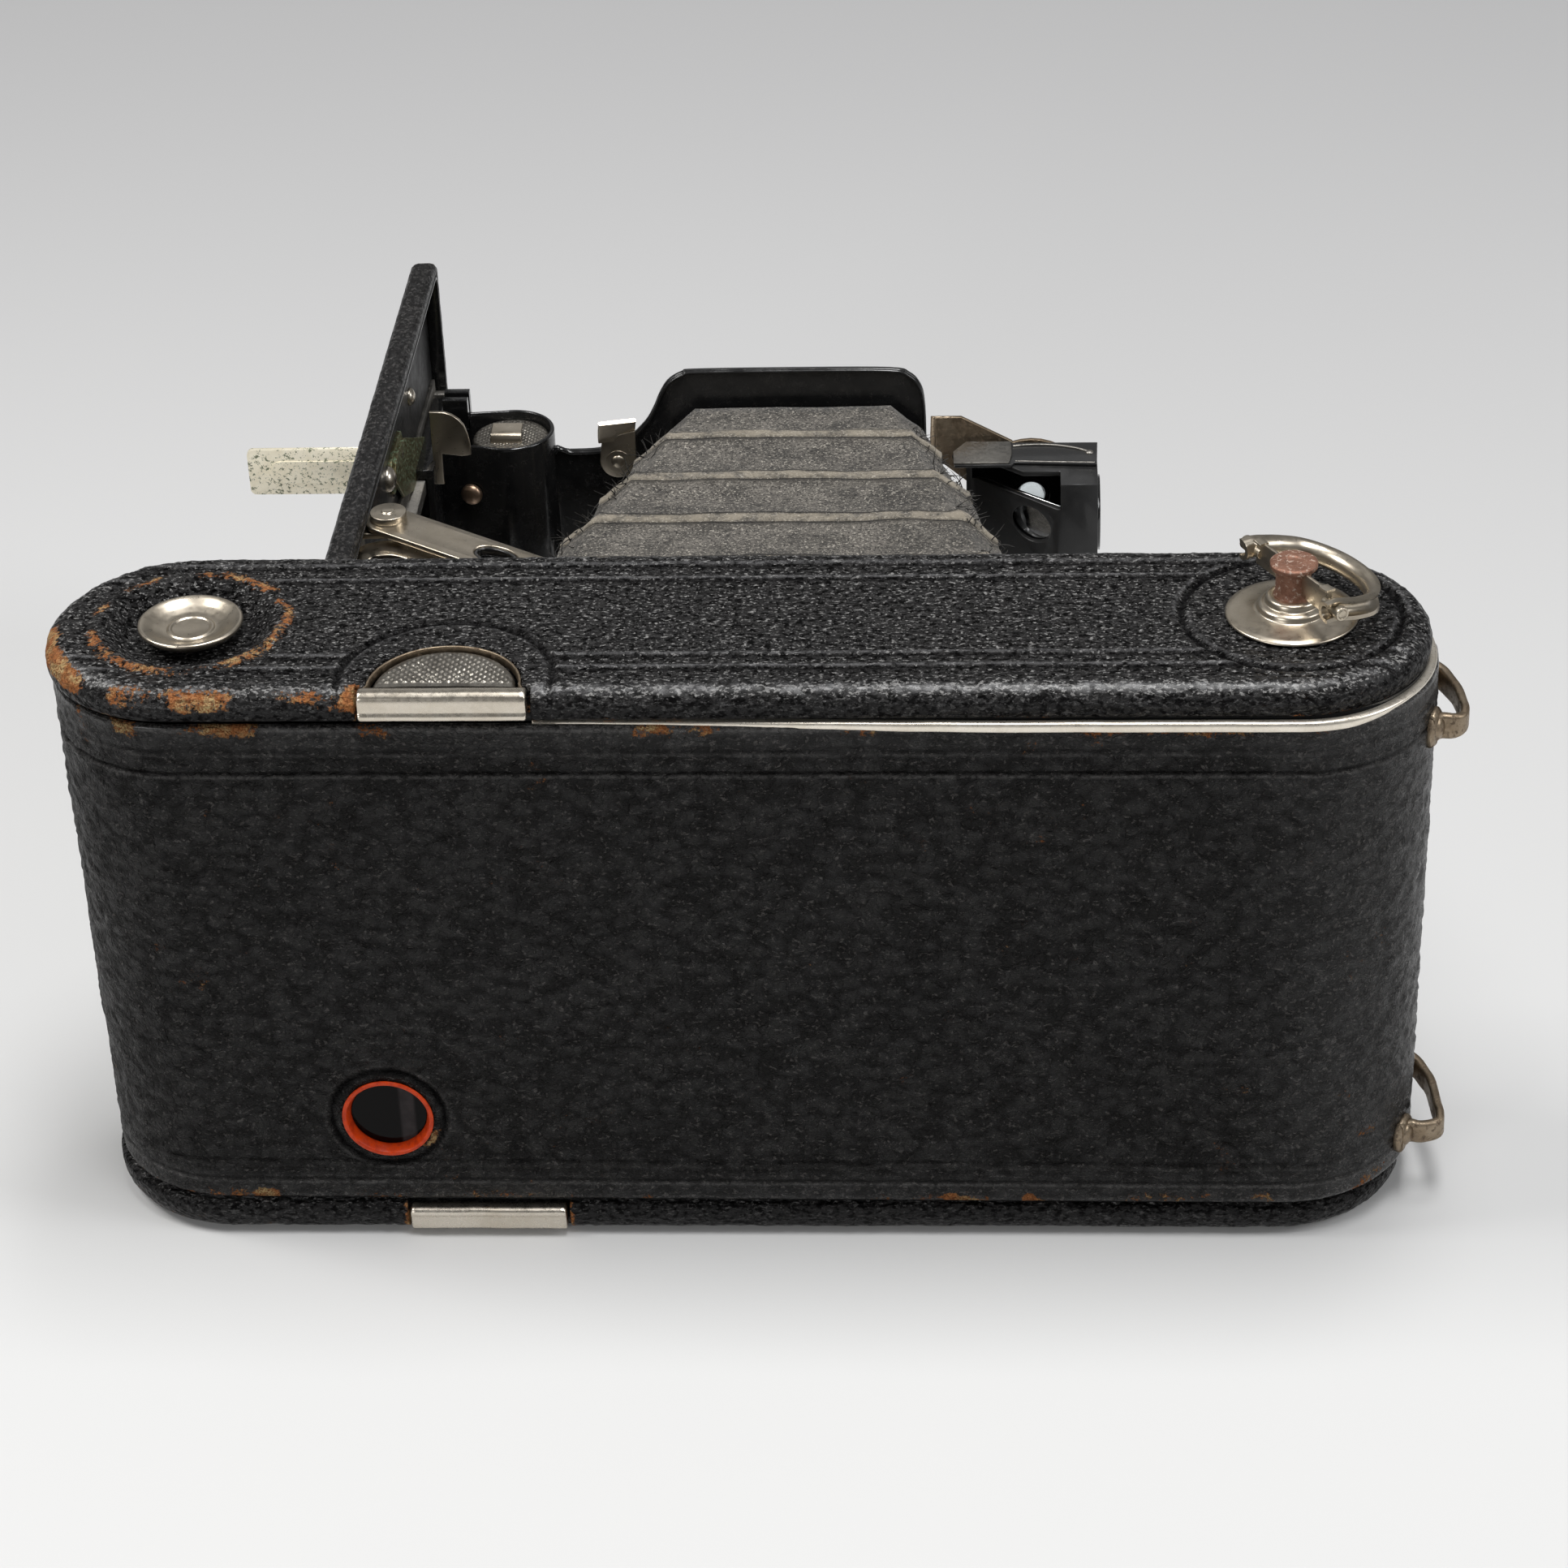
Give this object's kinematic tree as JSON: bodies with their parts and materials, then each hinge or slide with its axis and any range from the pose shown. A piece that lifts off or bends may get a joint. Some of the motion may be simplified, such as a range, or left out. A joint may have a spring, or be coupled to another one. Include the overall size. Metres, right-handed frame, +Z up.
{
  "type": "folding camera",
  "caption": "Folding roll-film camera, opened in landscape pose: round-ended leather body, drop bed, tapered bellows, lens standard, swivelling finder and winding key.",
  "frame": {"origin": "middle of the flat outer face of the lower side panel, which the camera lies on in landscape pose", "axes": "+X along the long body towards the winding key, +Y from the removable back towards the lens, +Z up"},
  "size_m": [0.2491, 0.2037, 0.1268],
  "materials": {
    "leather": "dry pebbled black leather over metal, rubbed to tan at the edges",
    "black_enamel": "gloss black enamel",
    "nickel": "aged nickel plate, warm and slightly dull",
    "steel": "dull steel with traces of plating",
    "rusty_steel": "rust-brown steel",
    "brass": "tarnished brass with green spots",
    "copper_rivet": "worn coppery rivet head",
    "bellows_cloth": "dusty grey-black bellows leather",
    "window_ring": "orange-red celluloid",
    "ruby_window": "dark red celluloid",
    "spool_wood": "stained wood core with dark metal flanges",
    "glass": "clear polished glass",
    "mirror": "silvered mirror"
  },
  "bodies": {
    "camera_body": {"body_frame": "leather", "side_panel_top": "leather", "side_panel_bottom": "leather", "film_gate": "black_enamel", "tripod_bush": "nickel", "bed_panel": "leather", "bed_hinge_upper": "steel", "bed_hinge_lower": "steel", "bed_track": "steel", "body_track": "steel", "brace_upper": "nickel", "brace_lower": "nickel", "brace_rivet_upper": "nickel", "brace_rivet_lower": "nickel", "focus_scale": "brass", "leg_bracket": "nickel", "bellows": "bellows_cloth"},
    "back_cover": {"back_cover": "leather", "cover_trim": "nickel", "window_ring": "window_ring", "window_glass": "ruby_window", "pressure_plate": "black_enamel", "strap_lug_upper": "steel", "strap_lug_lower": "steel"},
    "winding_key": {"key_post": "rusty_steel", "key_blade": "nickel"},
    "key_bail": {"key_bail": "nickel"},
    "takeup_spool": {"takeup_spool": "spool_wood"},
    "supply_spool": {"supply_spool": "spool_wood"},
    "supply_knob": {"supply_knob": "nickel"},
    "guide_roller_left": {"guide_roller_left": "nickel"},
    "guide_roller_right": {"guide_roller_right": "nickel"},
    "latch_top": {"latch_top": "nickel"},
    "latch_bottom": {"latch_bottom": "nickel"},
    "stand_leg": {"stand_leg": "nickel"},
    "lens_standard": {"carriage": "black_enamel", "foot_housing": "black_enamel", "housing_rivet": "copper_rivet", "standard_plate": "black_enamel", "focus_pointer": "nickel", "shutter_case": "black_enamel", "shutter_cover": "black_enamel", "front_lens_cell": "nickel", "front_lens": "glass", "rear_lens_cell": "nickel", "rear_lens": "glass", "finder_bracket": "nickel"},
    "grip_upper": {"grip_upper": "steel"},
    "grip_lower": {"grip_lower": "steel"},
    "clip_lever": {"clip_lever": "nickel"},
    "aperture_lever": {"aperture_lever": "nickel"},
    "speed_dial": {"speed_dial": "nickel"},
    "release_lever": {"release_lever": "nickel"},
    "shutter_blade_left": {"shutter_blade_left": "steel"},
    "shutter_blade_right": {"shutter_blade_right": "steel"},
    "finder": {"finder_body": "black_enamel", "finder_mirror": "mirror", "finder_eye_lens": "glass", "finder_front_lens": "glass"}
  },
  "joints": [
    {"name": "standard_slide", "type": "slide", "parent": "camera_body", "child": "lens_standard", "axis": [0, 1, 0], "range_m": [-0.15, 0], "deforming": ["bellows"]},
    {"name": "back_lift_off", "type": "slide", "parent": "camera_body", "child": "back_cover", "axis": [0, -1, 0], "range_m": [0, 0.07]},
    {"name": "winding_key_turn", "type": "hinge", "parent": "camera_body", "child": "winding_key", "pos_m": [0.0965, 0, 0.118], "axis": [0, 0, 1], "continuous": true},
    {"name": "takeup_spool_turn", "type": "hinge", "parent": "camera_body", "child": "takeup_spool", "pos_m": [0.0965, 0, 0.058], "axis": [0, 0, 1], "continuous": true},
    {"name": "key_bail_fold", "type": "hinge", "parent": "winding_key", "child": "key_bail", "pos_m": [0.0965, 0, 0.1235], "axis": [0.5, -0.866, 0], "range_deg": [0, 180]},
    {"name": "supply_spool_turn", "type": "hinge", "parent": "camera_body", "child": "supply_spool", "pos_m": [-0.095, 0, 0.058], "axis": [0, 0, 1], "continuous": true},
    {"name": "supply_knob_pull", "type": "slide", "parent": "camera_body", "child": "supply_knob", "axis": [0, 0, 1], "range_m": [0, 0.008]},
    {"name": "guide_roller_left_turn", "type": "hinge", "parent": "camera_body", "child": "guide_roller_left", "pos_m": [-0.0864, -0.0156, 0.058], "axis": [0, 0, 1], "continuous": true},
    {"name": "guide_roller_right_turn", "type": "hinge", "parent": "camera_body", "child": "guide_roller_right", "pos_m": [0.0864, -0.0156, 0.058], "axis": [0, 0, 1], "continuous": true},
    {"name": "latch_top_rock", "type": "hinge", "parent": "camera_body", "child": "latch_top", "pos_m": [-0.048, -0.019, 0.1136], "axis": [-1, 0, 0], "range_deg": [0, 8]},
    {"name": "latch_bottom_rock", "type": "hinge", "parent": "camera_body", "child": "latch_bottom", "pos_m": [-0.048, -0.019, 0.0024], "axis": [1, 0, 0], "range_deg": [0, 8]},
    {"name": "stand_leg_fold", "type": "hinge", "parent": "camera_body", "child": "stand_leg", "pos_m": [-0.0819, 0.171, 0.058], "axis": [0, 0, 1], "range_deg": [0, 90]},
    {"name": "grip_upper_press", "type": "slide", "parent": "lens_standard", "child": "grip_upper", "axis": [0, 0, -1], "range_m": [0, 0.0025]},
    {"name": "grip_lower_press", "type": "slide", "parent": "lens_standard", "child": "grip_lower", "axis": [0, 0, 1], "range_m": [0, 0.0025]},
    {"name": "clip_lever_turn", "type": "hinge", "parent": "lens_standard", "child": "clip_lever", "pos_m": [-0.0345, 0.148, 0.0698], "axis": [0, 1, 0], "range_deg": [-25, 15]},
    {"name": "aperture_turn", "type": "hinge", "parent": "lens_standard", "child": "aperture_lever", "pos_m": [0.003, 0.156, 0.058], "axis": [0, 1, 0], "range_deg": [-22, 22]},
    {"name": "speed_dial_turn", "type": "hinge", "parent": "lens_standard", "child": "speed_dial", "pos_m": [0.003, 0.161, 0.0776], "axis": [0, 1, 0], "range_deg": [-130, 130]},
    {"name": "release_press", "type": "hinge", "parent": "lens_standard", "child": "release_lever", "pos_m": [-0.0174, 0.156, 0.0615], "axis": [0, 1, 0], "range_deg": [0, 14]},
    {"name": "blade_left_swing", "type": "hinge", "parent": "lens_standard", "child": "shutter_blade_left", "pos_m": [-0.0145, 0.153, 0.058], "axis": [0, 1, 0], "range_deg": [0, 40]},
    {"name": "blade_right_swing", "type": "hinge", "parent": "lens_standard", "child": "shutter_blade_right", "pos_m": [0.0205, 0.153, 0.058], "axis": [0, 1, 0], "range_deg": [0, 40]},
    {"name": "finder_swivel", "type": "hinge", "parent": "lens_standard", "child": "finder", "pos_m": [0.053, 0.167, 0.0515], "axis": [0, -1, 0], "range_deg": [0, 90]}
  ],
  "couplings": [
    {"joint": "winding_key_turn", "follows": "takeup_spool_turn", "ratio": 1},
    {"joint": "grip_lower_press", "follows": "grip_upper_press", "ratio": 1},
    {"joint": "blade_left_swing", "follows": "release_press", "ratio": 2.8571},
    {"joint": "blade_right_swing", "follows": "release_press", "ratio": 2.8571}
  ]
}
